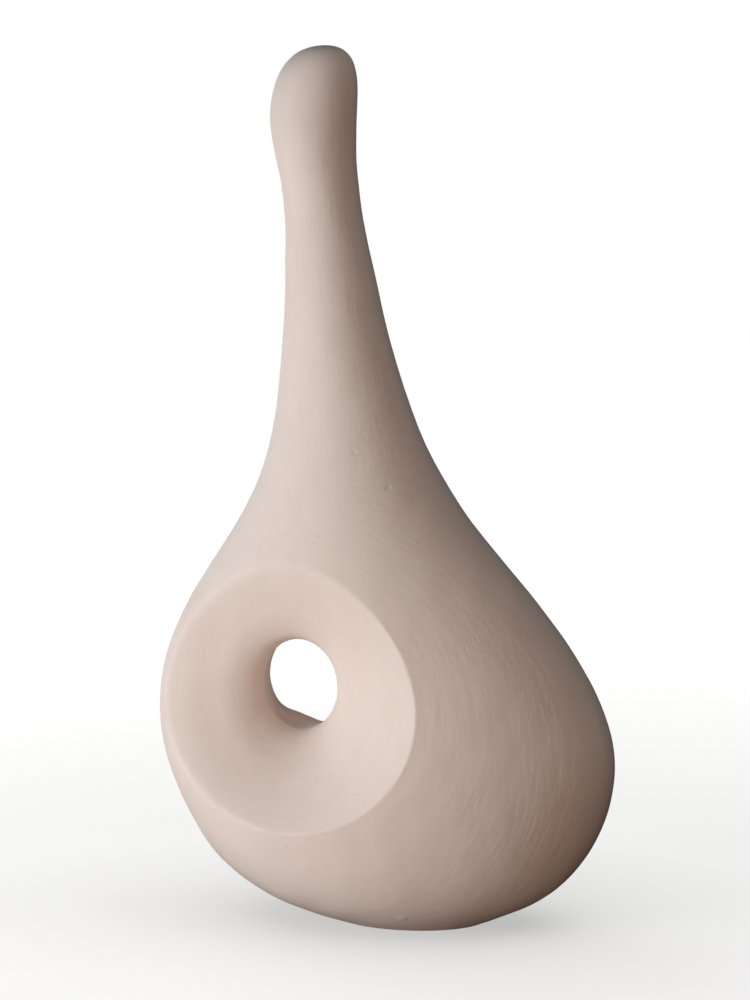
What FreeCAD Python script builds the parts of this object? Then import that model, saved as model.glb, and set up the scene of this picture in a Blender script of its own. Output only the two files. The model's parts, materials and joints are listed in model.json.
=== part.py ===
"""Pierced plaster form, built up over a steel armature: a flattened drop-shaped body that
rises into a long slender neck and a rounded head, with one dished eye cut right through
the lower body.

Row frame, millimetres: +Z up, -Y is the front, +X to the right seen from the front.
The origin is the middle of the flat foot, on the surface that the form stands on.

From the outside in: a thin finish coat of fine plaster, a thick base coat of plaster and
scrim, two halves of a foam core pegged together, and between the halves a bent spine rod
with a hoop tied to it that carries the plaster round the eye. The rod is bolted to a
plywood board let into the foot.
"""
import FreeCAD, Part  # noqa: E401  FreeCAD has to be imported before Part
import math
import os

from FreeCAD import Vector

# ---------------------------------------------------------------- driving dimensions

HEIGHT = 500.0            # foot to top of head
FOOT_HALF_WIDTH = 42.0
FOOT_HALF_DEPTH = 29.0

# Outer form, from the foot up: height, middle x, half width (x), half depth (y).
# Each row is one horizontal oval that the skin passes through.
BODY_OVALS = (
    (0.0, 0.0, FOOT_HALF_WIDTH, FOOT_HALF_DEPTH),
    (7.0, -4.0, 63.0, 40.5),        # heel, where the underside turns up
    (18.0, -6.5, 85.8, 52.2),
    (36.0, -8.5, 106.2, 62.3),
    (62.0, -10.0, 121.5, 69.0),
    (105.0, -15.5, 131.0, 71.5),    # widest, level with the eye
    (152.0, -24.0, 119.5, 67.0),
    (203.0, -31.0, 88.0, 56.0),     # shoulder
    (254.0, -35.5, 53.5, 41.5),
    (305.0, -41.0, 36.2, 32.0),     # foot of the neck
    (373.0, -47.8, 25.0, 24.0),
    (424.0, -53.6, 21.8, 21.5),     # neck at its slimmest
    (458.0, -57.2, 24.3, 23.5),     # head
    (485.0, -54.6, 21.5, 20.5),
    (HEIGHT, -50.5, 0.0, 0.0),      # top of the head
)

EYE_X, EYE_Z = -63.0, 136.5     # middle of the throat

# Eye, from behind to in front: y, middle x, middle z, half width, half height, turn of the
# oval about a vertical line (degrees), how far its top and bottom stand out in front of its
# sides, and how much further the bottom stands out than the top.
EYE_OVALS = (
    (150.0, -66.0, 140.0, 125.0, 115.0, 0.0, 0.0, 0.0),     # clear of the back
    (78.0, -66.0, 140.0, 105.0, 98.0, -15.0, 0.0, 0.0),
    (67.0, -63.0, 139.5, 64.0, 60.0, -14.0, 0.0, 0.0),
    (60.0, -62.5, 139.0, 46.0, 45.0, -11.0, 0.0, 0.0),      # rounded lip at the back
    (50.0, -62.5, 138.5, 35.5, 35.5, -6.0, 0.0, 0.0),
    (38.0, -62.5, 137.3, 30.0, 32.8, -2.0, 0.0, 0.0),
    (16.0, -63.0, 136.4, 24.0, 29.0, 0.0, 0.0, -2.0),
    (-8.0, -63.3, 136.5, 21.3, 27.0, 0.0, 0.0, -5.0),       # throat
    (-17.0, -63.2, 136.2, 24.3, 29.4, 4.0, 0.3, -5.0),
    (-25.0, -63.0, 136.0, 31.5, 35.7, 8.0, 1.0, -3.6),
    (-31.5, -62.8, 136.2, 41.5, 44.0, 11.0, 2.5, -1.6),
    (-36.5, -62.4, 136.3, 53.0, 53.5, 13.5, 4.5, 0.5),
    (-41.5, -62.0, 136.0, 66.0, 63.5, 15.0, 7.0, 3.2),
    (-46.1, -61.7, 136.0, 81.0, 75.0, 16.2, 10.0, 6.0),     # rim of the dish
    (-51.5, -61.0, 136.0, 100.0, 90.0, 16.5, 13.5, 8.0),
    (-57.0, -60.0, 136.0, 120.0, 106.0, 16.5, 17.0, 10.0),
    (-150.0, -60.0, 136.0, 135.0, 120.0, 0.0, 0.0, 0.0),    # clear of the front
)

FINISH_THICK = 2.5        # fine plaster, inside and out
FOOT_EDGE = 3.0           # the foot is bare base coat, up to this close to its edge
FOOT_DEEP = 6.0
CORE_COVER = 20.0         # plaster between the foam core and the open air
CORE_BEHIND_DISH = 16.0   # plaster between the dish and the core, measured along y
CORE_HOLE = (44.0, 48.0)  # half width and half height of the hole left in the core
CORE_FROM = 30.0
NECK_FROM = 250.0         # the base coat is laid in two stages, with its joint above the core

BOARD_THICK = 18.0        # plywood let into the foot, flush with it
BOARD_MARGIN = 11.0       # plaster left round the board
COUNTERBORE = 24.0        # recess under the board for the lower nut
COUNTERBORE_DEEP = 9.5

ROD = 8.0                 # spine rod, with M8 nuts on its lower end
ROD_START = 1.0           # lower end, just inside the counterbore
ROD_BENDS = ((0.0, 40.0), (-39.0, 290.0))    # x, z of the two bends
ROD_END = (-54.5, 472.0)
WRAP_THICK = 3.0          # hessian wound on the rod up the neck
WRAP_FROM, WRAP_TO = 300.0, 455.0

HOOP = 5.0                # rod bent round the eye
HOOP_LEFT = -97.5         # x of its far side
HOOP_LEGS = (99.0, 175.0)  # heights of its two legs
HOOP_TAIL = 30.0          # how far each end runs along the spine
HOOP_BEND = 34.0
TIE_WIRE = 1.6
TIE_TURNS = 5
TIE_PITCH = 1.4

PEG = 8.0                 # wooden pegs between the two foam halves
PEG_LONG = 50.0
PEG_PLACES = ((54.0, 70.0), (68.0, 130.0), (-14.0, 228.0))

WASHER = (17.0, 1.6)      # outside diameter, thickness
NUT = (13.0, 6.5)         # across flats, thickness

BODY_ROWS = 56            # rows of control points from foot to head
EYE_ROWS = 72             # rows of control points through the eye
POINTS_ROUND = 32         # control points round each oval
FLOOR_SHARE = 0.12        # share of an inner skin's rows that make its floor


# ---------------------------------------------------------------- smooth closed skins

def blend_through(rows):
    """A function of 0..1 that runs smoothly through rows of numbers of equal length."""
    lengths = [0.0]
    for a, b in zip(rows, rows[1:]):
        lengths.append(lengths[-1] + math.dist(a, b))
    stops = [s / lengths[-1] for s in lengths]
    curves = []
    columns = list(zip(*rows))
    for pair in zip(columns[::2], columns[1::2]):
        curve = Part.BSplineCurve()
        curve.interpolate(Points=[Vector(*p) for p in zip(*pair, stops)], Parameters=stops)
        curves.append(curve)

    def at(share):
        found = [c.value(min(max(share, 0.0), 1.0)) for c in curves]
        return [x for p in found for x in (p.x, p.y)]

    return at


body_at = blend_through(BODY_OVALS)
eye_at = blend_through(EYE_OVALS)


def body_point(share, angle):
    """Point on the outer form, from foot (0) to head (1), and round it."""
    z, x, half_width, half_depth = body_at(share)
    return Vector(x + half_width * math.cos(angle), half_depth * math.sin(angle), z)


def eye_point(share, angle):
    """Point on the wall of the eye, from behind (0) to in front (1), and round it."""
    y, x, z, half_width, half_height, turn, stand, lean = eye_at(share)
    across = half_width * math.cos(angle)
    up = math.sin(angle)
    turn = math.radians(turn)
    return Vector(x + across * math.cos(turn),
                  y - across * math.sin(turn) - stand * up ** 2 + lean * up,
                  z + half_height * up)


def moved_out(point, distance):
    """The same skin moved out along its normals by a distance, or in if it's negative."""
    tiny = 1e-3

    def moved(share, angle):
        along = point(min(share + tiny, 1), angle) - point(max(share - tiny, 0), angle)
        around = point(share, angle + tiny) - point(share, angle - tiny)
        normal = around.cross(along)
        normal = normal.normalize() if around.Length > 1e-9 else Vector(0, 0, 1)
        return point(share, angle) + normal * distance

    return moved


def body_inside(depth):
    """The body's skin moved in, with a floor the same depth above the foot."""
    skin = moved_out(body_point, -depth)
    middle = Vector(0, 0, depth)

    def point(share, angle):
        if share < FLOOR_SHARE:
            return middle + (skin(0, angle) - middle) * (share / FLOOR_SHARE)
        return skin((share - FLOOR_SHARE) / (1 - FLOOR_SHARE), angle)

    return point


def eye_wider(margin):
    """The eye's wall moved out into the body, with its two ends kept flat."""
    wall = moved_out(eye_point, margin)

    def point(share, angle):
        p = wall(share, angle)
        if share in (0, 1):
            p.y = eye_at(share)[0]
        return p

    return point


def solid_of(point, rows):
    """Solid inside a cubic surface, closed round, that follows point(share, angle)."""
    last = rows - 3
    knots = [0] * 3 + list(range(last + 1)) + [last] * 3
    shares = [sum(knots[i + 1:i + 4]) / 3 / last for i in range(rows)]
    turn = 2 * math.pi / POINTS_ROUND
    grid = [[point(s, k * turn) for k in range(POINTS_ROUND)] for s in shares]
    poles = []
    for i, row in enumerate(grid):
        moved = []
        for k, p in enumerate(row):
            # A control point stands out from its surface by a sixth of the local bend.
            bend = row[k - 1] + row[(k + 1) % POINTS_ROUND] - p * 2
            if 1 < i < rows - 2:
                bend += grid[i - 1][k] + grid[i + 1][k] - p * 2
            moved.append(p - bend / 6)
        poles.append(moved)
    surface = Part.BSplineSurface()
    surface.buildFromPolesMultsKnots(
        poles,
        [4] + [1] * (last - 1) + [4], [1] * (POINTS_ROUND + 1),
        list(range(last + 1)), list(range(POINTS_ROUND + 1)),
        False, True, 3, 3)
    side = surface.toShape()
    faces = [side]
    for edge in side.Edges:     # a flat lid on each open end
        if not edge.Degenerated and edge.isClosed() and not edge.isSeam(side):
            faces.append(Part.Face(Part.Wire(edge)))
    shell = Part.makeShell(faces)
    if len(faces) > 1:
        shell.sewShape()
    return facing_out(Part.Solid(shell))


def facing_out(solid):
    if solid.Volume < 0:
        solid.reverse()
    return solid


# ---------------------------------------------------------------- rods, ties and fasteners

def bent_rod(corners, bends, diameter):
    """Round rod in the plane y = 0 along corners (x, z), with a bend radius at each inner one."""
    points = [Vector(x, 0, z) for x, z in corners]
    edges = []
    start = points[0]
    for before, corner, after, radius in zip(points, points[1:], points[2:], bends):
        back = (before - corner).normalize()
        on = (after - corner).normalize()
        half_angle = back.getAngle(on) / 2
        reach = radius / math.tan(half_angle)
        enter, leave = corner + back * reach, corner + on * reach
        to_centre = (back + on).normalize()
        crown = corner + to_centre * (radius / math.sin(half_angle) - radius)
        edges.append(Part.makeLine(start, enter))
        edges.append(Part.Arc(enter, crown, leave).toShape())
        start = leave
    edges.append(Part.makeLine(start, points[-1]))
    path = Part.Wire(edges)
    first = (points[1] - points[0]).normalize()
    section = Part.Wire(Part.makeCircle(diameter / 2, points[0], first))
    return facing_out(path.makePipeShell([section], True, True))


def spine(diameter, top):
    """The spine's line as a round rod of a given diameter, from the board up to its top end."""
    corners = ((0, ROD_START),) + ROD_BENDS + (top,)
    return bent_rod(corners, (60.0, 200.0), diameter)


def spine_x(z):
    """x of the spine's middle line on its long leaning part."""
    (x0, z0), (x1, z1) = ROD_BENDS
    return x0 + (x1 - x0) * (z - z0) / (z1 - z0)


def lean():
    """Unit vector up along the spine's long leaning part."""
    (x0, z0), (x1, z1) = ROD_BENDS
    return Vector(x1 - x0, 0, z1 - z0).normalize()


def hoop():
    """Rod that runs round the eye, with both ends laid along the spine."""
    beside = (ROD + HOOP) / 2 / lean().z
    low, high = HOOP_LEGS
    corners = [(spine_x(z) - beside, z) for z in (high + HOOP_TAIL, high)]
    corners += [(HOOP_LEFT, high), (HOOP_LEFT, low)]
    corners += [(spine_x(z) - beside, z) for z in (low, low - HOOP_TAIL)]
    return bent_rod(corners, (8.0, HOOP_BEND, HOOP_BEND, 8.0), HOOP)


def on_spine(shape, z):
    """A shape made upright at the origin, moved on to the spine at a height and leant with it."""
    shape = shape.copy()
    shape.rotate(Vector(0, 0, 0), Vector(0, 1, 0), math.degrees(math.atan2(lean().x, lean().z)))
    shape.translate(Vector(spine_x(z), 0, z))
    return shape


def loop_round_both(radius):
    """Closed line round the spine and the hoop's end beside it, at the origin."""
    left, right = -(ROD + HOOP) / 2, 0.0
    front, back = -radius, radius
    return Part.Wire([
        Part.makeLine(Vector(left, front, 0), Vector(right, front, 0)),
        Part.Arc(Vector(right, front, 0), Vector(right + radius, 0, 0),
                 Vector(right, back, 0)).toShape(),
        Part.makeLine(Vector(right, back, 0), Vector(left, back, 0)),
        Part.Arc(Vector(left, back, 0), Vector(left - radius, 0, 0),
                 Vector(left, front, 0)).toShape(),
    ])


def tie(z):
    """A few turns of wire that hold the hoop's end to the spine, from a height z up."""
    radius = (ROD + TIE_WIRE) / 2
    start = Vector(-(ROD + HOOP) / 2, -radius, 0)
    section = Part.Wire(Part.makeCircle(TIE_WIRE / 2, start, Vector(1, 0, 0)))
    turn = facing_out(loop_round_both(radius).makePipeShell([section], True, True))
    coil = turn
    for i in range(1, TIE_TURNS):
        coil = coil.fuse(turn.translated(Vector(0, 0, TIE_PITCH * i)))
    return on_spine(coil, z)


def tie_pocket(z):
    """The room that a tie takes up in the foam and the plaster."""
    below = TIE_WIRE / 2
    room = Part.Face(loop_round_both(ROD / 2 + TIE_WIRE)).extrude(
        Vector(0, 0, TIE_PITCH * (TIE_TURNS - 1) + 2 * below))
    return on_spine(room.translated(Vector(0, 0, -below)), z)


def slot_beside(z):
    """The slot between the spine and the hoop's end, which lies against it."""
    return on_spine(Part.makeBox(
        (ROD + HOOP) / 2, HOOP * 0.8, HOOP_TAIL - 6.0,
        Vector(-(ROD + HOOP) / 2, -HOOP * 0.4, 3.0)), z)


def washer(z):
    outside, thick = WASHER
    at = Vector(0, 0, z)
    return Part.makeCylinder(outside / 2, thick, at).cut(Part.makeCylinder(ROD / 2, thick, at))


def nut(z):
    """Hexagon nut with its corners rounded off above and below."""
    flats, thick = NUT
    radius = flats / math.sqrt(3)
    corners = [Vector(radius * math.cos(math.radians(60 * i)),
                      radius * math.sin(math.radians(60 * i)), z) for i in range(7)]
    block = Part.Face(Part.makePolygon(corners)).extrude(Vector(0, 0, thick))
    chamfer = radius - flats / 2 * 0.97
    outline = [(0, 0), (radius - chamfer, 0), (radius, chamfer * 0.6),
               (radius, thick - chamfer * 0.6), (radius - chamfer, thick), (0, thick), (0, 0)]
    turned = Part.Face(Part.makePolygon([Vector(r, 0, z + h) for r, h in outline]))
    turned = turned.revolve(Vector(0, 0, 0), Vector(0, 0, 1), 360)
    return block.common(turned).cut(Part.makeCylinder(ROD / 2, thick, Vector(0, 0, z)))


def slab(low, high):
    """Everything between two heights."""
    return Part.makeBox(600, 600, high - low, Vector(-300, -300, low))


def oval_plate(margin, thick):
    """Flat oval plate that follows the foot's edge at a margin inside it."""
    at = Vector(0, 0, 0)
    oval = Part.Ellipse(at, FOOT_HALF_WIDTH - margin, FOOT_HALF_DEPTH - margin).toShape()
    return Part.Face(Part.Wire(oval)).extrude(Vector(0, 0, thick))


# ---------------------------------------------------------------- the pieces

def build():
    pieces = {}

    # Steel and wood first, since everything else is built up round them.
    spine_rod = spine(ROD, ROD_END)
    eye_hoop = hoop()
    wrapped = spine(ROD + 2 * WRAP_THICK, ROD_END)
    wrapped = wrapped.common(slab(WRAP_FROM, WRAP_TO))
    low, high = HOOP_LEGS
    tie_heights = (low - HOOP_TAIL * 0.7, high + HOOP_TAIL * 0.4)
    board_blank = oval_plate(BOARD_MARGIN, BOARD_THICK)
    board = board_blank.cut(Part.makeCylinder(ROD / 2, BOARD_THICK, Vector(0, 0, 0)))
    board = board.cut(Part.makeCylinder(COUNTERBORE / 2, COUNTERBORE_DEEP, Vector(0, 0, 0)))
    flange, nut_thick = WASHER[1], NUT[1]
    fasteners = {
        "washer_bottom": washer(COUNTERBORE_DEEP - flange),
        "nut_bottom": nut(COUNTERBORE_DEEP - flange - nut_thick),
        "washer_top": washer(BOARD_THICK),
        "nut_top": nut(BOARD_THICK + flange),
        "tie_lower": tie(tie_heights[0]),
        "tie_upper": tie(tie_heights[1]),
    }
    pegs = {
        f"core_peg_{i + 1}": Part.makeCylinder(
            PEG / 2, PEG_LONG, Vector(x, -PEG_LONG / 2, z), Vector(0, 1, 0))
        for i, (x, z) in enumerate(PEG_PLACES)
    }
    nut_room = Part.makeCylinder(WASHER[0] / 2, flange + nut_thick, Vector(0, 0, BOARD_THICK))
    rooms = [spine_rod, eye_hoop, slot_beside(low - HOOP_TAIL), slot_beside(high), nut_room]
    rooms += [tie_pocket(z) for z in tie_heights]
    metal = rooms[0].fuse(rooms[1:])

    # Foam core: the body's shape well inside the plaster, split down the middle.
    eye = solid_of(eye_point, EYE_ROWS)
    throat = Part.Ellipse(Vector(0, 0, 0), CORE_HOLE[1], CORE_HOLE[0]).toShape()
    core_hole = Part.Face(Part.Wire(throat)).extrude(Vector(0, 0, 300))
    core_hole.rotate(Vector(0, 0, 0), Vector(0, 0, 1), 90)
    core_hole.rotate(Vector(0, 0, 0), Vector(1, 0, 0), -90)
    core_hole.translate(Vector(EYE_X, -150, EYE_Z))
    core = solid_of(body_inside(CORE_COVER), BODY_ROWS).cut(core_hole)
    core = core.cut(eye.translated(Vector(0, CORE_BEHIND_DISH, 0)))
    core = core.common(slab(CORE_FROM, NECK_FROM))
    halves = {
        "core_front": core.common(Part.makeBox(600, 200, 600, Vector(-300, -200, 0))),
        "core_back": core.common(Part.makeBox(600, 200, 600, Vector(-300, 0, 0))),
    }
    for name, half in halves.items():
        pieces[name] = half.cut(metal).cut(list(pegs.values()))

    # Plaster: a thick coat over the core and the steel, then a thin one inside and out.
    outer = solid_of(body_point, BODY_ROWS).cut(eye)
    inner = solid_of(body_inside(FINISH_THICK), BODY_ROWS)
    inner = inner.fuse(oval_plate(FOOT_EDGE, FOOT_DEEP))
    inner = inner.cut(solid_of(eye_wider(FINISH_THICK), EYE_ROWS))
    pieces["finish_coat"] = outer.cut(inner).cut(board_blank)
    base = inner.cut(core).cut(board_blank)
    base = base.cut(wrapped.fuse(metal))
    pieces["base_coat_body"] = base.common(slab(-1.0, NECK_FROM))
    pieces["base_coat_neck"] = base.common(slab(NECK_FROM, HEIGHT))

    pieces["spine_rod"] = spine_rod
    pieces["rod_wrapping"] = wrapped.cut(spine_rod)
    pieces["eye_hoop"] = eye_hoop
    pieces["base_board"] = board
    pieces.update(fasteners)
    pieces.update(pegs)
    return pieces


def main():
    os.makedirs("parts", exist_ok=True)
    for name, shape in build().items():
        solids = shape.Solids
        if len(solids) == 1:
            shape = solids[0]
        print(name, len(solids), "valid" if shape.isValid() else "NOT VALID",
              round(shape.Volume / 1000, 2), "cm3")
        shape.exportStep(f"parts/{name}.step")


main()
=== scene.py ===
# %% [markdown]
# # A pierced plaster form
#
# This is a tall plaster form of the kind that a potter or a sculptor makes as a model: a
# flattened drop-shaped body, a long neck with a rounded head, and one dished eye that goes
# right through. The pieces of the frame already have their true shape and size. This lesson
# gives the outside the skin that a hand-finished plaster has, and gives every piece its finish.

import json
import math

import bmesh
import bpy
import numpy as np
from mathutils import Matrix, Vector
from mathutils.bvhtree import BVHTree
from mathutils.kdtree import KDTree


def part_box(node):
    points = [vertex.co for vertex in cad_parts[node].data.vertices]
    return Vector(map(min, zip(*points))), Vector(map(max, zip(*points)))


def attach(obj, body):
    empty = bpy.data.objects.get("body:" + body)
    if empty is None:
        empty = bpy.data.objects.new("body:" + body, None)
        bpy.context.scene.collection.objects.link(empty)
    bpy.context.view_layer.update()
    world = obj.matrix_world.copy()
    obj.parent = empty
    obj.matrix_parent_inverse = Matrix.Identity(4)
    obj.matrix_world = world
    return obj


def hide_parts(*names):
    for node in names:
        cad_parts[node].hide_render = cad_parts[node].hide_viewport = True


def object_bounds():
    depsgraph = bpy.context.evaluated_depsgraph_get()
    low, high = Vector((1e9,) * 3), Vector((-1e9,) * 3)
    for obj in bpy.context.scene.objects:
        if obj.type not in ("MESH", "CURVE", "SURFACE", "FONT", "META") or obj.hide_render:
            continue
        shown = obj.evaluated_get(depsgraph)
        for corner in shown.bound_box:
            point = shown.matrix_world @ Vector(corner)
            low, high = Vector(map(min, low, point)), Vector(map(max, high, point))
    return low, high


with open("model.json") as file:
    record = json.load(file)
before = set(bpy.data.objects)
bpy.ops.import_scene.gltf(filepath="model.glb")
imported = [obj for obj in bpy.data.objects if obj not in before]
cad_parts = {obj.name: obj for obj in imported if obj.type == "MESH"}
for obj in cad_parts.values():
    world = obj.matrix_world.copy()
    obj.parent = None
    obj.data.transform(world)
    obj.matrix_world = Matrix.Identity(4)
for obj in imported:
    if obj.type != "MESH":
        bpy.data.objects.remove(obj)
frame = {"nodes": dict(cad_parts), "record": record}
nodes = frame["nodes"]
cad_low, cad_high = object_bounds()
height = cad_high.z - cad_low.z
print("pieces", len(nodes), "height", round(height, 4))

MM = 0.001
rng = np.random.default_rng(5)

# %% [markdown]
# ## Reading a mesh as arrays
#
# A plaster skin is worked on in thousands of small places at once, so its points are handled
# as arrays: read all of them, work out one number for each, and write all of them back. These
# helpers do the reading and the writing.

# %% Arrays to and from a mesh
def points_of(mesh):
    flat = np.empty(len(mesh.vertices) * 3, np.float32)
    mesh.vertices.foreach_get("co", flat)
    return flat.reshape(-1, 3).astype(float)


def normals_of(mesh):
    flat = np.empty(len(mesh.vertices) * 3, np.float32)
    mesh.vertices.foreach_get("normal", flat)
    return flat.reshape(-1, 3).astype(float)


def edges_of(mesh):
    flat = np.empty(len(mesh.edges) * 2, np.int32)
    mesh.edges.foreach_get("vertices", flat)
    return flat.reshape(-1, 2)


def move_points(mesh, points):
    mesh.vertices.foreach_set("co", points.astype(np.float32).ravel())
    mesh.update()


# %% [markdown]
# ## Making pieces
#
# Blender keeps a mesh, the object that shows it, and the scene that holds the object apart.
# These helpers tie them together. A modifier is a recipe that Blender works out on demand; it
# is applied here straight away, because the next step needs its points.

# %% New objects and applied modifiers
def new_object(name, mesh):
    piece = bpy.data.objects.new(name, mesh)
    bpy.context.scene.collection.objects.link(piece)
    return piece


def shade_smooth(mesh):
    for face in mesh.polygons:
        face.use_smooth = True


def with_modifier(piece, kind, **settings):
    """The piece's mesh after one modifier, applied."""
    modifier = piece.modifiers.new(kind.title(), kind)
    for setting, value in settings.items():
        setattr(modifier, setting, value)
    bpy.context.view_layer.update()
    made = bpy.data.meshes.new_from_object(
        piece.evaluated_get(bpy.context.evaluated_depsgraph_get()))
    piece.modifiers.clear()
    old = piece.data
    piece.data = made
    bpy.data.meshes.remove(old)
    return made


# %% [markdown]
# ## The finish coat: one closed outside and one closed inside
#
# On the real form a thin coat of fine plaster lies over a thick, rougher one. The frame holds
# it as a shell that is open at the foot. Here the shell's ring on the table is taken away, so
# that the skin falls into two sheets, and each sheet is closed by itself. The outside can then
# be carved as a solid lump, as the maker carved it, and hollowed again at the end.

# %% Part a shell into its connected sheets
FOOT_FLAT = 0.02 * MM            # a face below this lies on the table


def sheets_of(mesh):
    """The connected sheets left when the faces that lie on the table are taken away."""
    shell = bmesh.new()
    shell.from_mesh(mesh)
    bmesh.ops.remove_doubles(shell, verts=shell.verts, dist=1e-7)
    lying = [f for f in shell.faces if all(v.co.z < FOOT_FLAT for v in f.verts)]
    bmesh.ops.delete(shell, geom=lying, context="FACES")
    shell.verts.ensure_lookup_table()
    sheet_of = {}
    for seed in shell.verts:
        if seed in sheet_of or not seed.link_faces:
            continue
        number = len(set(sheet_of.values()))
        reached = [seed]
        sheet_of[seed] = number
        while reached:
            for edge in reached.pop().link_edges:
                for v in edge.verts:
                    if v not in sheet_of:
                        sheet_of[v] = number
                        reached.append(v)
    found = []
    for number in sorted(set(sheet_of.values())):
        copy = shell.copy()
        copy.verts.ensure_lookup_table()
        stray = [v for v, w in zip(copy.verts, shell.verts) if sheet_of.get(w) != number]
        bmesh.ops.delete(copy, geom=stray, context="VERTS")
        found.append(copy)
    shell.free()
    return sorted(found, key=lambda s: -max(v.co.z for v in s.verts))


# %% Close a sheet's foot
def open_edges(sheet):
    return [e for e in sheet.edges if e.is_boundary]


def close_below(sheet, reach):
    """Close a sheet's open foot, with the edge first drawn down by a distance."""
    if reach:
        drawn = bmesh.ops.extrude_edge_only(sheet, edges=open_edges(sheet))["geom"]
        for part in drawn:
            if isinstance(part, bmesh.types.BMVert):
                part.co.z = -reach
    bmesh.ops.holes_fill(sheet, edges=open_edges(sheet), sides=0)
    bmesh.ops.triangulate(sheet, faces=[f for f in sheet.faces if len(f.verts) > 4])
    bmesh.ops.recalc_face_normals(sheet, faces=sheet.faces)


# %% Close the outside and the inside
sheets = sheets_of(nodes["finish_coat"].data)
print("sheets", [(len(s.faces), round(max(v.co.z for v in s.verts), 4)) for s in sheets])
outside, inside = sheets[:2]
HOLLOW_REACH = 2 * MM            # the inside ends a little below the table, to cut cleanly
close_below(outside, 0)
close_below(inside, HOLLOW_REACH)

skin_mesh = bpy.data.meshes.new("plaster_skin")
outside.to_mesh(skin_mesh)
hollow_mesh = bpy.data.meshes.new("skin_hollow")
inside.to_mesh(hollow_mesh)
skin = new_object("plaster_skin", skin_mesh)
hollow = new_object("skin_hollow", hollow_mesh)

# %% [markdown]
# ## An even skin to carve
#
# The frame's triangles are long and thin, which is fine for a machine and poor for carving.
# A voxel remesh lays an even net of small squares over the same form. The net comes out
# slightly stepped, so each point is then put back on the true surface, and the net is
# relaxed everywhere except along the rim of the dish, which has to stay crisp.

# %% Lay an even net over the outside
NET_STEP = 1.1 * MM
RIM_TURN = math.radians(14)      # a bend sharper than this is the rim of the dish
FOOT_HIGH = 5 * MM               # a bend below this is the edge of the foot

true_surface = BVHTree.FromBMesh(outside)
rim_points = np.array([
    (a.co * (1 - t) + b.co * t)[:]
    for edge in outside.edges
    if len(edge.link_faces) == 2 and edge.calc_face_angle() > RIM_TURN
    for a, b in [edge.verts]
    if max(a.co.z, b.co.z) > FOOT_HIGH
    for t in (0, 0.25, 0.5, 0.75)
])
outside.free()
inside.free()

net = with_modifier(skin, "REMESH", mode="VOXEL", voxel_size=NET_STEP, adaptivity=0)
place = points_of(net)
for i, p in enumerate(place):
    place[i] = true_surface.find_nearest(Vector(p))[0]
print("net", len(place), "points, and the rim", len(rim_points))

# %% [markdown]
# ## How far each point is from the rim
#
# Several steps treat the rim apart from the rest, so each point is given its distance from
# the rim once. A k-d tree answers that quickly for a quarter of a million points.

# %% Distance from the rim
rim_tree = KDTree(len(rim_points))
for i, p in enumerate(rim_points):
    rim_tree.insert(p, i)
rim_tree.balance()
rim_far = np.array([rim_tree.find(p)[2] for p in place])
print("points within 3 mm of the rim", int((rim_far < 3 * MM).sum()))

# %% [markdown]
# ## Relaxing a net
#
# Each point moves a little towards the average of its neighbours, and then a little back the
# other way. The first move takes out small bumps, and the second keeps the form from
# shrinking, which plain smoothing would do.

# %% Relax the net
links = edges_of(net)
one, other = links[:, 0], links[:, 1]
neighbours = np.bincount(one, minlength=len(place)) + np.bincount(other, minlength=len(place))


def neighbour_mean(values):
    """The average of each point's neighbours, for one or more columns of values."""
    columns = values.reshape(len(values), -1)
    total = np.empty_like(columns)
    for k in range(columns.shape[1]):
        total[:, k] = (np.bincount(one, columns[other, k], len(columns))
                       + np.bincount(other, columns[one, k], len(columns)))
    return (total / neighbours[:, None]).reshape(values.shape)


def relax(points, rounds, weight, forward=0.6, back=-0.62):
    for _ in range(rounds):
        for share in (forward, back):
            points = points + (neighbour_mean(points) - points) * (share * weight)[:, None]
    return points


def fade(values, start, end):
    """0 at start, 1 at end, and a smooth curve between them."""
    t = np.clip((values - start) / (end - start), 0, 1)
    return t * t * (3 - 2 * t)


RELAX_ROUNDS = 14
foot_free = fade(place[:, 2], 0.5 * MM, 4 * MM)
relaxed = relax(place, RELAX_ROUNDS,
                foot_free * (0.12 + 0.88 * fade(rim_far, 1 * MM, 5 * MM)))
moved = np.linalg.norm(relaxed - place, axis=1)
place = relaxed
print("relaxed by up to", round(float(moved.max()) / MM, 2), "mm")

# %% [markdown]
# ## A rim that is crisp on one side
#
# The dish was scraped from its lower right, so the rim is crisp there, and it is rubbed soft
# on the upper left. Averaging a point with its neighbours many times rounds an edge over, so
# the softness is a matter of where round the eye the averaging is allowed.

# %% Rub the rim soft on its upper left
throat_box = frame["record"]["physics"]["openings"][0]["box_m"]
eye_x, _, eye_z = (Vector(throat_box[0]) + Vector(throat_box[1])) / 2
SOFTEST = math.radians(155)      # round the eye, from its right side
RUBS = 26
RUB_SHARE = 0.55                 # how far each rub moves a point to its neighbours' average

from_eye = place - np.array([eye_x, 0, eye_z])
eye_far = np.hypot(from_eye[:, 0], from_eye[:, 2])
round_angle = np.arctan2(from_eye[:, 2], from_eye[:, 0])
softness = fade(np.cos(round_angle - SOFTEST), -0.45, 0.55) * (place[:, 1] < 0)
softness *= 1 - fade(rim_far, 2.5 * MM, 8 * MM)
for _ in range(RUBS):
    place += (neighbour_mean(place) - place) * (RUB_SHARE * softness)[:, None]
move_points(net, place)
print("points rubbed", int((softness > 0.1).sum()))

# %% [markdown]
# ## The throat, cut by hand
#
# The throat was opened from both sides, and the two cuts do not quite meet. A faint step runs
# round it where the dish ends, because the wall behind was scraped a little deeper. Further
# back, low on the left, plaster was left on, so that side of the opening is nearly straight.
# Both are shifts along the surface's own direction, faded in and out round the throat.

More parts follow.
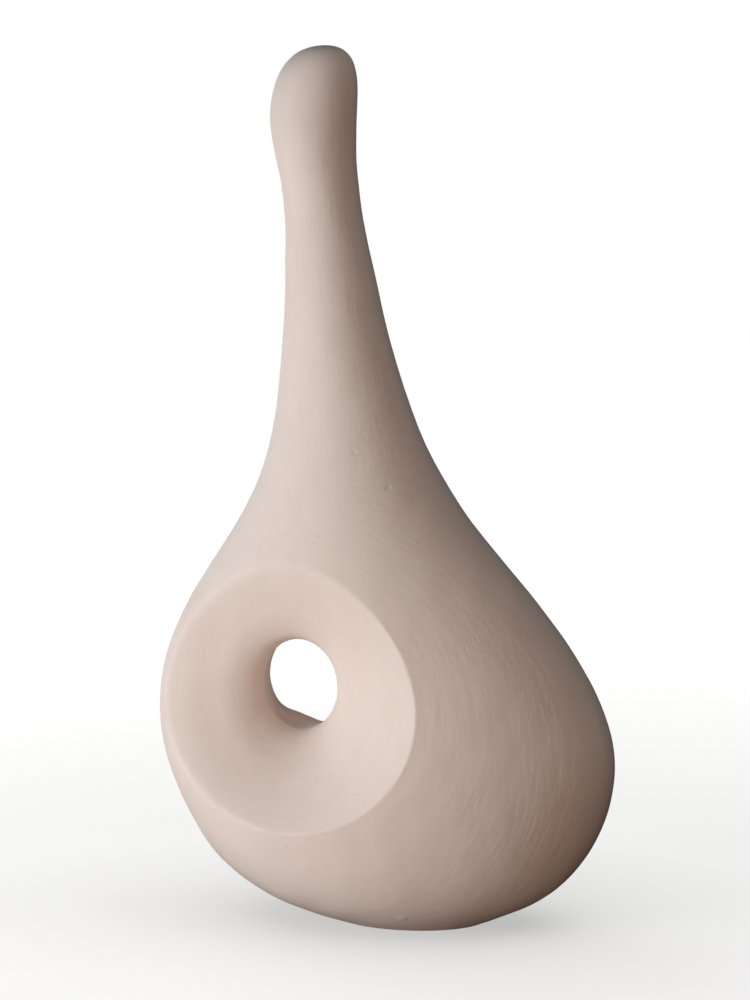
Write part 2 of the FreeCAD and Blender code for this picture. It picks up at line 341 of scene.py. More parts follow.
# %% Step and thickening in the throat
STEP_DEEP = 1.1 * MM
LEFT_ON = 4.1 * MM
LEFT_ON_AT = math.radians(-106)  # round the eye, from its right side
LEFT_ON_REACH = math.radians(35)
THROAT_HALF_HEIGHT = 27 * MM
THROAT_WALL = 34 * MM, 40 * MM   # the throat ends between these distances from its middle
NARROWEST_AT = -8 * MM           # where the throat is narrowest, from front to back
NARROWEST_LEAN = 5 * MM          # its top lies this much further forward

narrowest = NARROWEST_AT - NARROWEST_LEAN * from_eye[:, 2] / THROAT_HALF_HEIGHT
behind = place[:, 1] - narrowest
near_throat = 1 - fade(eye_far, *THROAT_WALL)
step = STEP_DEEP * fade(behind, -0.6 * MM, 1.2 * MM) * (1 - fade(behind, 4 * MM, 24 * MM))
off_side = np.abs(round_angle - LEFT_ON_AT) / LEFT_ON_REACH
kept = LEFT_ON * (1 - fade(off_side, 0.1, 1)) * fade(place[:, 1], 5 * MM, 20 * MM)
kept *= 1 - fade(place[:, 1], 34 * MM, 52 * MM)
place += normals_of(net) * ((kept - step) * near_throat)[:, None]
print("step up to", round(float(step.max()) / MM, 2), "mm; plaster left on up to",
      round(float((kept * near_throat).max()) / MM, 2), "mm")

# %% [markdown]
# ## A fine burr on the crisp rim
#
# A scraper pushes a hair of plaster over the edge that it leaves. On the crisp side the rim
# stands up by a tenth of a millimetre or two, and that thin line catches the light.

# %% Raise the burr
BURR = 0.16 * MM
BURR_WIDE = 1.3 * MM
crisp = 1 - fade(np.cos(round_angle - SOFTEST), -0.75, -0.1)
burr = BURR * np.exp(-(rim_far / BURR_WIDE) ** 2) * crisp * (place[:, 1] < 0)
place += normals_of(net) * burr[:, None]
move_points(net, place)
print("burr up to", round(float(burr.max()) / MM, 2), "mm")

# %% [markdown]
# ## What a hand leaves on the form
#
# No hand-made form is as even as its plan. Wide, very shallow swellings come from building it
# up by eye, and narrower ones from the scraper. Both are made by adding many soft waves that
# run in random directions, each with its own wavelength, so that nothing repeats.

# %% Swellings from building up and scraping
def soft_waves(points, shortest, longest, count):
    """A smooth random height for each point, about -1 to 1, from waves of a range of lengths."""
    total = np.zeros(len(points))
    for _ in range(count):
        heading = rng.normal(size=3)
        heading /= np.linalg.norm(heading)
        length = math.exp(rng.uniform(math.log(shortest), math.log(longest)))
        total += np.sin(points @ heading * (2 * math.pi / length) + rng.uniform(0, 2 * math.pi))
    return total / math.sqrt(count / 2) / 1.6


WIDE_SWELL = 0.34 * MM
NARROW_SWELL = 0.10 * MM

calm = foot_free * (0.25 + 0.75 * fade(rim_far, 0, 14 * MM))
swell = WIDE_SWELL * soft_waves(place, 55 * MM, 120 * MM, 18)
swell += NARROW_SWELL * soft_waves(place, 16 * MM, 40 * MM, 26)
out = normals_of(net)
place = place + out * (swell * calm)[:, None]
move_points(net, place)
print("swellings up to", round(float(np.abs(swell).max()) / MM, 2), "mm")

# %% [markdown]
# ## Tool strokes
#
# A scraper and a damp brush leave fine strokes: lengthwise on the neck, and sweeping round
# the eye on the body. To make them, every point first gets a random height. Then each point
# is averaged with its neighbours again and again, but only with those that lie along the
# stroke, so that the random heights are drawn out into streaks. Streaks of wind or current
# are drawn over a map in the same way.

# %% Which way the strokes run
DISH_RADIUS = 0.16 * height
NECK_FROM, NECK_TO = 0.38 * height, 0.60 * height

out = normals_of(net)
in_dish = (1 - fade(eye_far, DISH_RADIUS * 0.9, DISH_RADIUS * 1.05)) * (place[:, 1] < 0)

on_neck = fade(place[:, 2], NECK_FROM, NECK_TO)[:, None]
round_eye = np.stack([from_eye[:, 2], np.zeros(len(place)), -from_eye[:, 0]], 1)
round_eye *= (np.where(from_eye[:, 0] < 0, -1, 1) / (eye_far + 1e-9))[:, None]
along = round_eye * (1 - on_neck) + np.array([0, 0, -1.0]) * on_neck
along -= out * (along * out).sum(1)[:, None]
along /= np.linalg.norm(along, axis=1)[:, None] + 1e-9
print("points on the neck", int((on_neck > 0.5).sum()), "in the dish", int((in_dish > 0.5).sum()))

# %% Draw random heights out into strokes
FINE_DEEP = 0.016 * MM
WIDE_DEEP = 0.013 * MM
FINE_ROUNDS = 60                 # more rounds draw the strokes out longer
WIDE_ROUNDS = 140

edge = place[other] - place[one]
edge /= np.linalg.norm(edge, axis=1)[:, None] + 1e-12
lined_up = (np.abs((edge * along[one]).sum(1)) + np.abs((edge * along[other]).sum(1))) / 2
pull = lined_up ** 6 + 1e-4
pull_total = np.bincount(one, pull, len(place)) + np.bincount(other, pull, len(place))


def drawn_out(values, rounds):
    """Values averaged along the strokes, and brought back to a spread of about 1."""
    for _ in range(rounds):
        beside = (np.bincount(one, pull * values[other], len(values))
                  + np.bincount(other, pull * values[one], len(values)))
        values = 0.35 * values + 0.65 * beside / pull_total
    values = values - values.mean()
    return values / values.std()


fine_strokes = drawn_out(rng.normal(size=len(place)), FINE_ROUNDS)
wide_seed = neighbour_mean(neighbour_mean(neighbour_mean(rng.normal(size=len(place)))))
wide_strokes = drawn_out(wide_seed, WIDE_ROUNDS)
brushed = 0.35 + 0.65 * fade(soft_waves(place, 50 * MM, 110 * MM, 14), -0.6, 0.7)
strokes = (FINE_DEEP * fine_strokes + WIDE_DEEP * wide_strokes) * brushed
strokes *= (1 - 0.7 * in_dish) * foot_free * (1 - 0.35 * on_neck[:, 0])
place = place + out * strokes[:, None]
move_points(net, place)
print("strokes up to", round(float(np.abs(strokes).max()) / MM, 3), "mm")

# %% [markdown]
# ## Pinholes, crumbs and a scratch
#
# Plaster traps air, so a few small round pinholes open when it is scraped. Where the crisp
# rim has been knocked, small crumbs have come off. Each of these is a soft dent pushed into
# the skin at one place, and a dab of plaster left standing is the same thing turned outward.

# %% Find a place on the front, and dent it
near = KDTree(len(place))
for i, p in enumerate(place):
    near.insert(p, i)
near.balance()
faces_now = BVHTree.FromPolygons([tuple(p) for p in place],
                                 [tuple(f.vertices) for f in net.polygons])


def front_point(across, up):
    """The first point met from the front, across from the eye and up from the table.

    Both distances are shares of the height."""
    start = Vector((eye_x + across * height, -1, up * height))
    return faces_now.ray_cast(start, Vector((0, 1, 0)))[0]


def dent(at, radius, depth, sharp=1.2):
    """Push a round dent in; a depth below zero raises a dab, and sharp sets its slope."""
    for _, i, far in near.find_range(at, radius):
        place[i] -= out[i] * depth * (1 - (far / radius) ** sharp)


# %% Pinholes
PINHOLES = (      # across and up as shares of the height, radius and depth in mm
    (-0.0055, 0.536, 1.7, 0.20), (0.073, 0.548, 1.4, 0.50), (0.074, 0.512, 1.2, 0.30),
    (0.112, 0.509, 1.8, 0.50), (0.084, 0.566, 1.3, 0.15), (0.010, 0.618, 1.2, 0.20),
    (0.065, 0.723, 1.2, 0.25), (0.050, 0.327, 1.2, 0.20), (0.100, 0.262, 1.2, 0.20),
)
for across, up, radius, depth in PINHOLES:
    dent(front_point(across, up), radius * MM, depth * MM)

LOOSE_PINHOLES = 18
for p in rng.uniform(cad_low[:], cad_high[:], size=(LOOSE_PINHOLES, 3)):
    dent(near.find(p)[0], rng.uniform(1.1, 1.4) * MM, rng.uniform(0.12, 0.35) * MM)
print("pinholes", len(PINHOLES) + LOOSE_PINHOLES)

# %% A scratch and some dabs
SCRATCH = ((0.034, 0.668), (0.039, 0.657), (0.044, 0.646), (0.050, 0.634))
STEPS_ALONG = 5
SCRATCH_WIDE = 1.4 * MM
SCRATCH_DEEP = 0.05 * MM
for start, end in zip(np.array(SCRATCH), np.array(SCRATCH)[1:]):
    for t in np.arange(STEPS_ALONG) / STEPS_ALONG:
        dent(front_point(*(start + (end - start) * t)), SCRATCH_WIDE, SCRATCH_DEEP, 1)

DABS = (          # across, up, radius and rise in mm; a rise below zero is a shallow smear
    (0.132, 0.0236, 3.2, 0.40), (0.109, 0.0588, 4.0, 0.16), (-0.020, 0.135, 5.0, -0.12),
    (0.024, 0.146, 4.0, -0.08), (0.014, 0.121, 3.0, -0.15),
)
for across, up, radius, rise in DABS:
    dent(front_point(across, up), radius * MM, -rise * MM, 2)
print("scratch of", len(SCRATCH), "points; dabs and smears", len(DABS))

# %% Crumbs off the rim
RIM_CRUMBS = (    # degrees round the eye from its right side, radius and depth in mm
    (-38, 1.7, 0.22), (-34, 1.6, 0.20), (-85, 2.2, 0.22), (-74, 1.6, 0.16),
    (-106, 2.2, 0.16), (12, 1.7, 0.12), (33, 1.6, 0.12),
)
front_rim = rim_points[rim_points[:, 1] < 0]
rim_angle = np.arctan2(front_rim[:, 2] - eye_z, front_rim[:, 0] - eye_x)
for degrees, radius, depth in RIM_CRUMBS:
    turn_off = np.abs(np.angle(np.exp(1j * (rim_angle - math.radians(degrees)))))
    dent(front_rim[turn_off.argmin()], radius * MM, depth * MM, 1.6)
move_points(net, place)
print("crumbs", len(RIM_CRUMBS))

# %% [markdown]
# ## Hollow it again
#
# The carved outside is solid. Taking the closed inside away from it leaves the coat with its
# real thickness and an open foot, where the base coat and the board can be seen.

# %% Hollow the skin
with_modifier(skin, "BOOLEAN", operation="DIFFERENCE", object=hollow, solver="MANIFOLD")
bpy.data.objects.remove(hollow)
shade_smooth(skin.data)
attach(skin, "root")
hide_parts("finish_coat")
check = bmesh.new()
check.from_mesh(skin.data)
print("skin", len(check.faces), "faces; open edges",
      sum(not e.is_manifold for e in check.edges),
      "volume", round(check.calc_volume() * 1e6, 1), "cm3")
check.free()

# %% [markdown]
# ## The wound strip
#
# Plaster does not grip a smooth steel rod, so a strip of hessian is wound round the top of it.
# A strip is a ribbon laid on a helix: each turn starts on the bare rod and ends on top of the
# turn before, so its two edges lie at different heights. It is made directly from that
# formula, as a grid of points along and across the strip, and then given a thickness.

# %% The strip's sizes
wrap_low, wrap_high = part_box("rod_wrapping")
wrap_middle = (wrap_low + wrap_high) / 2
WRAP_RADIUS = 7 * MM
ROD_RADIUS = 4 * MM
STRIP_WIDTH = 27 * MM
STRIP_PITCH = 15 * MM
STRIP_THICK = 0.9 * MM
CLOTH_THICK = 0.5 * MM
LOWEST = 0.55 * MM               # the first layer's middle, above the rod's surface
RUFFLE, ROUGH = 0.08 * MM, 0.04 * MM
STEPS_ROUND = 40
ACROSS = 10
print("wrapped length", round((wrap_high.z - wrap_low.z) / MM, 1), "mm")


def rod_line(z):
    """The middle of the rod's straight upper run at a height."""
    lean = (wrap_high.x - wrap_low.x - 2 * WRAP_RADIUS) / (wrap_high.z - wrap_low.z)
    return Vector((wrap_middle.x - lean * (z - wrap_middle.z), wrap_middle.y, z))


# %% Wind the strip
turns = (wrap_high.z - wrap_low.z - STRIP_WIDTH) / STRIP_PITCH
steps = int(turns * STEPS_ROUND)
strip = bmesh.new()
rows = []
for i in range(steps + 1):
    turn = turns * i / steps
    angle = 2 * math.pi * turn
    row = []
    for j in range(ACROSS + 1):
        across = j / ACROSS
        on_top = 1 - fade(across, 1 - STRIP_PITCH / STRIP_WIDTH, STRIP_PITCH / STRIP_WIDTH)
        radius = ROD_RADIUS + LOWEST + STRIP_THICK * on_top
        radius += RUFFLE * math.sin(angle * 7 + across * 9) + ROUGH * rng.normal()
        z = wrap_low.z + STRIP_PITCH * turn + STRIP_WIDTH * across
        centre = rod_line(z)
        row.append(strip.verts.new(
            centre + Vector((math.cos(angle), math.sin(angle), 0)) * radius))
    rows.append(row)
for row, above in zip(rows, rows[1:]):
    for j in range(ACROSS):
        strip.faces.new((row[j], above[j], above[j + 1], row[j + 1]))
strip_mesh = bpy.data.meshes.new("hessian_strip")
strip.to_mesh(strip_mesh)
strip.free()
winding = new_object("hessian_strip", strip_mesh)
with_modifier(winding, "SOLIDIFY", thickness=CLOTH_THICK, offset=0)
shade_smooth(winding.data)
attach(winding, "root")
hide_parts("rod_wrapping")
print("strip turns", round(turns, 1), "faces", len(winding.data.polygons))

# %% [markdown]
# ## Building a finish from nodes
#
# A finish is a small net of nodes: some make a pattern from the place on the piece, and the
# shader turns colour, roughness and bump into a surface. These helpers add one node in one
# line, with its numbers set or its inputs linked, so that each finish reads as a recipe.

# %% Colours
def colour(red, green, blue):
    """A colour as a paint chart gives it, 0 to 255, in the linear values that nodes use."""
    def linear(level):
        level /= 255
        return level / 12.92 if level <= 0.04045 else ((level + 0.055) / 1.055) ** 2.4
    return (linear(red), linear(green), linear(blue), 1)


# %% Helpers for finishes
class Finish:
    """A material whose nodes are added one line at a time."""

    def __init__(self, name, roughness=0.6, metallic=0.0, specular=0.5):
        self.material = bpy.data.materials.new(name)
        self.material.use_nodes = True
        self.tree = self.material.node_tree
        self.tree.nodes.clear()
        self.surface = self.node("OutputMaterial")
        self.shader = self.node("BsdfPrincipled", {
            "Roughness": roughness, "Metallic": metallic, "Specular IOR Level": specular})
        self.tree.links.new(self.shader.outputs["BSDF"], self.surface.inputs["Surface"])
        self.place = self.node("TexCoord").outputs["Object"]

    def node(self, kind, inputs=None, **settings):
        made = self.tree.nodes.new("ShaderNode" + kind)
        for name, value in settings.items():
            setattr(made, name, value)
        for name, value in (inputs or {}).items():
            if isinstance(value, bpy.types.NodeSocket):
                self.tree.links.new(value, made.inputs[name])
            else:
                made.inputs[name].default_value = value
        return made

    def stretched(self, x, y, z, place=None):
        """A place, divided by a size in mm along each axis."""
        scale = (1 / (x * MM), 1 / (y * MM), 1 / (z * MM))
        return self.node("Mapping", {"Vector": place or self.place,
                                     "Scale": scale}).outputs[0]

    def noise(self, x, y=None, z=None, detail=2.0, rough=0.5, seed=0.0, place=None):
        """Smooth random values, with lumps of a size in mm, or of a size along each axis."""
        sized = self.stretched(x, y or x, z or x, place)
        return self.node("TexNoise", {"Vector": sized, "W": seed, "Scale": 1.0,
                                      "Detail": detail, "Roughness": rough},
                         noise_dimensions="4D").outputs["Fac"]

    def spread(self, value, low, high, to_low=0.0, to_high=1.0):
        return self.node("MapRange", {"Value": value, "From Min": low, "From Max": high,
                                      "To Min": to_low, "To Max": to_high},
                         clamp=True).outputs[0]

    def mix(self, share, first, second):
        """A share of the second colour over the first."""
        made = self.node("Mix", data_type="RGBA")
        for number, value in ((0, share), (6, first), (7, second)):
            if isinstance(value, bpy.types.NodeSocket):
                self.tree.links.new(value, made.inputs[number])
            else:
                made.inputs[number].default_value = value
        return made.outputs[2]

    def math(self, how, first, second=0.0):
        return self.node("Math", {0: first, 1: second}, operation=how).outputs[0]

    def paint(self, value):
        self.tree.links.new(value, self.shader.inputs["Base Color"])

    def roughen(self, value):
        self.tree.links.new(value, self.shader.inputs["Roughness"])

    def bump(self, height_value, depth, under=None):
        """Raise and lower the look of the surface by a depth in mm, over an earlier bump."""
        made = self.node("Bump", {"Height": height_value, "Distance": depth * MM})
        if under:
            self.tree.links.new(under, made.inputs["Normal"])
        self.tree.links.new(made.outputs[0], self.shader.inputs["Normal"])
        return made.outputs[0]

    def cover(self, piece):
        """Put this finish on a piece that was made here."""
        piece.data.materials.clear()
        piece.data.materials.append(self.material)
        print(piece.name, "has", self.material.name)

    def give(self, *names):
        """Put this finish on carried-over pieces, in every slot that they have."""
        for name in names:
            for slot in nodes[name].material_slots:
                slot.material = self.material
            print(name, "has", self.material.name)


# %% [markdown]
# ## Fine plaster
#
# Finished plaster is pale, dry and quite matt, and it is never one colour: it dries in
# clouds, a trowel brings a faint pink or grey film up, and the tool's strokes hold a little
# more dust. The clouds are wide noise, the film is narrower noise drawn out along the piece,
# and a very fine grain gives the surface its chalky look close up.

# %% Where the strokes of the fine plaster run
fine = Finish("fine_plaster", roughness=0.9, specular=0.25)
xyz = fine.node("SeparateXYZ", {0: fine.place}).outputs
from_x = fine.math("SUBTRACT", xyz[0], eye_x)
from_z = fine.math("SUBTRACT", xyz[2], eye_z)
far = fine.math("SQRT", fine.math("ADD", fine.math("MULTIPLY", from_x, from_x),
                                  fine.math("MULTIPLY", from_z, from_z)))
angle = fine.math("ARCTAN2", from_z, fine.math("ABSOLUTE", from_x))
SWEEP_RADIUS = 0.1               # strokes keep their length at this distance from the eye
sweep = fine.node("CombineXYZ", {0: far, 1: xyz[1],
                                 2: fine.math("MULTIPLY", angle, SWEEP_RADIUS)}).outputs[0]
up_neck = fine.spread(xyz[2], 0.42 * height, 0.56 * height)
print("strokes turn upright from", round(0.42 * height, 3), "m up")


def brushed_by(size, length, detail, seed):
    """Fine strokes of a width and a length in mm, round the eye below and upright above."""
    round_eye, upright = [fine.noise(size, size, length, detail, 0.6, seed, way)
                          for way in (sweep, fine.place)]
    return fine.node("Mix", {0: up_neck, 2: round_eye, 3: upright}).outputs[0]


# %% Fine plaster for the skin
hair_strokes = brushed_by(1.3, 17, 2, 3)
broad_strokes = brushed_by(3.4, 30, 2, 6)
where_brushed = fine.spread(fine.noise(34, detail=2, seed=7), 0.36, 0.62, 0.25, 1)
clouds = fine.spread(fine.noise(75, detail=3, seed=1), 0.35, 0.65)
film = fine.spread(fine.noise(14, 14, 40, detail=3, rough=0.6, seed=2), 0.38, 0.62)
grain = fine.noise(0.7, detail=4, rough=0.7, seed=4)
specks = fine.spread(fine.noise(2.6, detail=0, seed=5), 0.80, 0.86)

tone = fine.mix(clouds, colour(230, 215, 206), colour(227, 211, 203))
tone = fine.mix(fine.math("MULTIPLY", film, 0.35), tone, colour(221, 207, 198))
tone = fine.mix(fine.spread(hair_strokes, 0.45, 0.75, 0, 0.22), tone, colour(214, 199, 189))
tone = fine.mix(fine.spread(broad_strokes, 0.50, 0.75, 0, 0.15), tone, colour(233, 220, 210))
tone = fine.mix(fine.spread(grain, 0.60, 0.85, 0, 0.18), tone, colour(208, 193, 183))
tone = fine.mix(fine.math("MULTIPLY", specks, 0.3), tone, colour(188, 171, 160))
fine.paint(tone)
fine.roughen(fine.spread(hair_strokes, 0.3, 0.7, 0.84, 0.95))
low_bump = fine.bump(fine.math("MULTIPLY", broad_strokes, where_brushed), 0.17)
low_bump = fine.bump(fine.math("MULTIPLY", hair_strokes, where_brushed), 0.14, low_bump)
fine.bump(grain, 0.04, low_bump)
fine.cover(skin)

# %% [markdown]
# ## Rough plaster with scrim
#
# The base coat is coarser: it holds sand, small voids, and threads of the scrim that is
# dipped in it. The voids are not carved: they are dark spots of painted shade. Threads are
# two sets of bands, crossing, with noise to make them wander.

# %% Rough plaster for the two base coats
coarse = Finish("rough_plaster", roughness=0.95, specular=0.2)
lumps = coarse.noise(9, detail=4, rough=0.6, seed=11)
sand = coarse.noise(1.1, detail=3, rough=0.7, seed=12)
# Where the small voids lie; they are given painted shade, not depth.
painted_void_shade = coarse.spread(coarse.noise(3.5, detail=1, seed=13), 0.70, 0.76)
wander = coarse.node("TexNoise", {"Vector": coarse.stretched(20, 20, 20), "Scale": 1.0})
bent = coarse.node("VectorMath", {0: coarse.stretched(4, 4, 4), 1: wander.outputs["Color"]},
                   operation="ADD").outputs[0]
threads = [coarse.node("TexWave", {"Vector": bent, "Scale": 0.5, "Distortion": 0.6},
                       bands_direction=axis).outputs["Fac"] for axis in ("X", "Z")]
scrim = coarse.spread(coarse.math("MAXIMUM", *threads), 0.90, 0.99)
tone = coarse.mix(coarse.spread(lumps, 0.35, 0.65), colour(214, 203, 190), colour(197, 183, 168))
tone = coarse.mix(coarse.spread(sand, 0.55, 0.75, 0, 0.4), tone, colour(168, 152, 134))
tone = coarse.mix(coarse.math("MULTIPLY", scrim, 0.3), tone, colour(187, 165, 128))
# Painted shade: the small voids are painted as dark spots instead of being carved.
tone = coarse.mix(coarse.math("MULTIPLY", painted_void_shade, 0.6), tone, colour(120, 106, 92))
coarse.paint(tone)
coarse.roughen(coarse.spread(sand, 0.3, 0.7, 0.88, 1.0))
low_bump = coarse.bump(lumps, 0.6)
low_bump = coarse.bump(sand, 0.25, low_bump)
coarse.bump(scrim, 0.2, low_bump)
coarse.give("base_coat_body", "base_coat_neck")

# %% [markdown]
# ## Carved foam
#
# The core is carved from rigid foam. A knife leaves it matt and open: small cells show as a
# net of thin walls. A cell pattern is exactly what a Voronoi texture draws.

# %% Foam for the core
foam = Finish("carved_foam", roughness=0.9, specular=0.25)
cells = foam.node("TexVoronoi", {"Vector": foam.stretched(1.6, 1.6, 1.6), "Scale": 1.0})
cell_depth = foam.spread(cells.outputs["Distance"], 0.1, 0.8)
age = foam.noise(40, detail=3, seed=21)
tone = foam.mix(foam.spread(age, 0.35, 0.65), colour(236, 226, 186), colour(222, 205, 152))
tone = foam.mix(foam.math("MULTIPLY", cell_depth, 0.35), tone, colour(196, 172, 112))
foam.paint(tone)
foam.roughen(foam.spread(cell_depth, 0, 1, 0.8, 0.97))
low_bump = foam.bump(foam.noise(12, 12, 30, detail=2, seed=22), 0.5)
foam.bump(cell_depth, 0.3, low_bump)
foam.give("core_front", "core_back")

# %% [markdown]
# ## Wood
#
# A dowel is turned from straight-grained beech: long fine fibres, with short darker flecks.
# The same recipe, with another direction of grain and other colours, makes the plywood. Its
# plies are thin layers with the grain crossing in every second one, which shows on the edge.

# %% Beech for the pegs
beech = Finish("beech", roughness=0.55, specular=0.4)
fibres = beech.noise(0.8, 14, 0.8, detail=4, rough=0.6, seed=31)
flecks = beech.spread(beech.noise(0.7, 3.5, 0.7, detail=1, seed=32), 0.66, 0.74)
tone = beech.mix(beech.spread(fibres, 0.3, 0.7), colour(214, 178, 134), colour(191, 150, 104))
tone = beech.mix(beech.math("MULTIPLY", flecks, 0.6), tone, colour(143, 102, 64))
beech.paint(tone)
beech.roughen(beech.spread(fibres, 0.3, 0.7, 0.45, 0.68))
beech.bump(fibres, 0.1)
beech.give("core_peg_1", "core_peg_2", "core_peg_3")

# %% Birch plywood for the board
PLY_PAIR = 3.6                   # mm from a ply to the next with the same grain
BAND = 0.314                     # the wave texture's scale for one band in each unit
ply = Finish("birch_plywood", roughness=0.6, specular=0.35)
along_x = ply.noise(26, 1.1, 1.1, detail=4, rough=0.6, seed=41)
along_y = ply.noise(1.1, 26, 1.1, detail=4, rough=0.6, seed=42)
layers = ply.node("TexWave", {"Vector": ply.stretched(PLY_PAIR, PLY_PAIR, PLY_PAIR),
                              "Scale": BAND, "Distortion": 0.0},
                  bands_direction="Z").outputs["Fac"]
crossing = ply.spread(layers, 0.45, 0.55)
grain_mix = ply.mix(crossing, along_x, along_y)
glue = ply.spread(ply.math("ABSOLUTE", ply.math("SUBTRACT", layers, 0.5)), 0.0, 0.16, 1, 0)
tone = ply.mix(grain_mix, colour(206, 176, 132), colour(168, 132, 88))
tone = ply.mix(ply.math("MULTIPLY", crossing, 0.45), tone, colour(148, 112, 74))
tone = ply.mix(ply.math("MULTIPLY", glue, 0.5), tone, colour(84, 58, 38))
tone = ply.mix(ply.spread(ply.noise(9, detail=3, seed=43), 0.5, 0.8, 0, 0.5), tone,
               colour(205, 194, 180))
ply.paint(tone)
ply.roughen(ply.spread(along_x, 0.3, 0.7, 0.5, 0.75))
ply.bump(grain_mix, 0.15)
ply.give("base_board")

# %% [markdown]
# ## Metal
#
# The rod and the loop are drawn steel: die lines run along them, and where wet plaster has
# touched them they carry a thin brown bloom. The tie wire is annealed, so it is nearly black.
# The nuts and washers are zinc plated, which is lighter, bluish and faintly spangled.

# %% Steel, annealed wire and zinc
def metal(name, bright, dark, bloom, bloom_share, roughness, lines, seed):
    """A drawn or plated metal, with lines along it and patches of bloom."""
    made = Finish(name, roughness=roughness, metallic=0.9)
    drawn = made.noise(*lines, detail=3, rough=0.6, seed=seed)
    patch = made.noise(7, detail=4, rough=0.65, seed=seed + 1)
    bloomed = made.spread(patch, 0.48, 0.66)
    tone = made.mix(made.spread(drawn, 0.3, 0.7), bright, dark)
    made.paint(made.mix(made.math("MULTIPLY", bloomed, bloom_share), tone, bloom))
    made.roughen(made.math("ADD", made.spread(drawn, 0.3, 0.7, roughness - 0.08, roughness),
                           made.math("MULTIPLY", bloomed, 0.25)))
    made.bump(made.math("ADD", drawn, made.math("MULTIPLY", bloomed, 0.6)), 0.04)
    return made


steel = metal("drawn_steel", colour(150, 148, 145), colour(116, 113, 110),
              colour(112, 72, 44), 0.55, 0.42, (0.5, 0.5, 18), 51)
steel.give("spine_rod", "eye_hoop")
wire = metal("annealed_wire", colour(74, 71, 70), colour(50, 47, 46),
             colour(88, 58, 40), 0.4, 0.5, (0.6, 0.6, 0.6), 55)
wire.give("tie_lower", "tie_upper")
zinc = metal("zinc_plate", colour(188, 192, 198), colour(160, 164, 172),
             colour(206, 206, 202), 0.3, 0.34, (0.8, 0.8, 0.8), 59)
zinc.give("washer_bottom", "nut_bottom", "washer_top", "nut_top")

# %% [markdown]
# ## Hessian
#
# Hessian is a plain weave of coarse jute. Two sets of bands, one round the rod and one along
# it, stand for weft and warp, and multiplying them lets each thread dip under the next. The
# jute is painted darker where a thread dips: painted shade between the threads. The round set
# needs the angle round the rod, so it is worked out from the place.

# %% Hessian for the strip
THREAD = 1.5                     # mm from one thread to the next
THREADS_ROUND = 22
hessian = Finish("hessian", roughness=0.95, specular=0.15)
hessian.shader.inputs["Sheen Weight"].default_value = 0.3
xyz = hessian.node("SeparateXYZ", {0: hessian.place}).outputs
middle_x = hessian.math("SUBTRACT", xyz[0], rod_line(wrap_low.z).x)
turned = hessian.math("ARCTAN2", xyz[1], middle_x)
warp = hessian.math("SINE", hessian.math("MULTIPLY", turned, THREADS_ROUND))
weft = hessian.math("SINE", hessian.math("MULTIPLY", xyz[2],
                                         2 * math.pi / (THREAD * MM)))
weave = hessian.spread(hessian.math("MULTIPLY", warp, weft), -1, 1)
fuzz = hessian.noise(0.6, detail=4, rough=0.7, seed=71)
# The weave's low places are painted darker: painted shade where each thread dips under the next.
tone = hessian.mix(weave, colour(138, 108, 70), colour(196, 166, 118))
tone = hessian.mix(hessian.spread(fuzz, 0.5, 0.8, 0, 0.5), tone, colour(214, 194, 158))
tone = hessian.mix(hessian.spread(hessian.noise(11, detail=3, seed=72), 0.5, 0.7, 0, 0.5),
                   tone, colour(214, 206, 194))
hessian.paint(tone)
hessian.roughen(hessian.spread(fuzz, 0.3, 0.7, 0.85, 1.0))
low_bump = hessian.bump(weave, 0.4)
hessian.bump(fuzz, 0.15, low_bump)
hessian.cover(winding)

# %% [markdown]
# ## The floor
#
# The form stands on plain pale paper that runs far back. A lit floor would end in a grey
# horizon, so this one gives a soft even light of its own: a little darker close to the form,
# where the contact shades it, and as white as the room from about a metre out.

# %% The floor
FLOOR_HALF = 6.0                 # metres
SHADE_REACH = 0.16
NEAR, FAR = 0.3, 1.1             # metres from the middle where the paper turns white
floor_mesh = bpy.data.meshes.new("floor")
floor_shape = bmesh.new()
corners = [floor_shape.verts.new((x * FLOOR_HALF, y * FLOOR_HALF, 0))
           for x, y in ((-1, -1), (1, -1), (1, 1), (-1, 1))]
floor_shape.faces.new(corners)
floor_shape.to_mesh(floor_mesh)
floor_shape.free()
floor = new_object("floor", floor_mesh)
paper = Finish("pale_floor", roughness=0.95, specular=0.1)
paper.paint(paper.mix(paper.spread(paper.noise(400, detail=2, seed=81), 0.3, 0.7),
                      (0.26, 0.24, 0.225, 1), (0.25, 0.23, 0.215, 1)))
near_far = paper.node("VectorMath", {0: paper.place}, operation="LENGTH").outputs["Value"]
contact = paper.node("AmbientOcclusion", {"Distance": SHADE_REACH}, samples=8).outputs["AO"]
shaded = paper.spread(contact, 0.25, 1.0, 0.50, 0.80)
lit_evenly = paper.node("Mix", {0: paper.spread(near_far, NEAR, FAR), 2: shaded, 3: 1.0})
glowing = paper.node("Emission", {"Strength": lit_evenly.outputs[0]})
both = paper.node("AddShader", {0: paper.shader.outputs[0], 1: glowing.outputs[0]})
paper.tree.links.new(both.outputs[0], paper.surface.inputs["Surface"])
paper.cover(floor)
floor.visible_diffuse = False
floor.visible_glossy = False
floor.visible_shadow = False

# %% [markdown]
# ## The camera
#
# A long lens from a few heights away keeps the form's proportions true. The camera stands a
# little to the right of straight in front and a little above, and looks at the middle of the
# form, so that the dish is seen slightly from its right side.

# %% The camera
CAMERA_TURN = math.radians(10.6)
CAMERA_RISE = math.radians(7)
CAMERA_FAR = 3.5 * height
CAMERA_LENS = 110.45
aim = Vector((-0.0434 * height, 0, 0.486 * height))
to_camera = Vector((math.sin(CAMERA_TURN) * math.cos(CAMERA_RISE),
                    -math.cos(CAMERA_TURN) * math.cos(CAMERA_RISE), math.sin(CAMERA_RISE)))
camera_data = bpy.data.cameras.new("camera")
camera_data.lens = CAMERA_LENS
camera = bpy.data.objects.new("camera", camera_data)
camera.location = aim + to_camera * CAMERA_FAR
camera.rotation_euler = to_camera.to_track_quat("Z", "Y").to_euler()
bpy.context.scene.collection.objects.link(camera)
bpy.context.scene.camera = camera
print("camera", [round(c, 3) for c in camera.location])

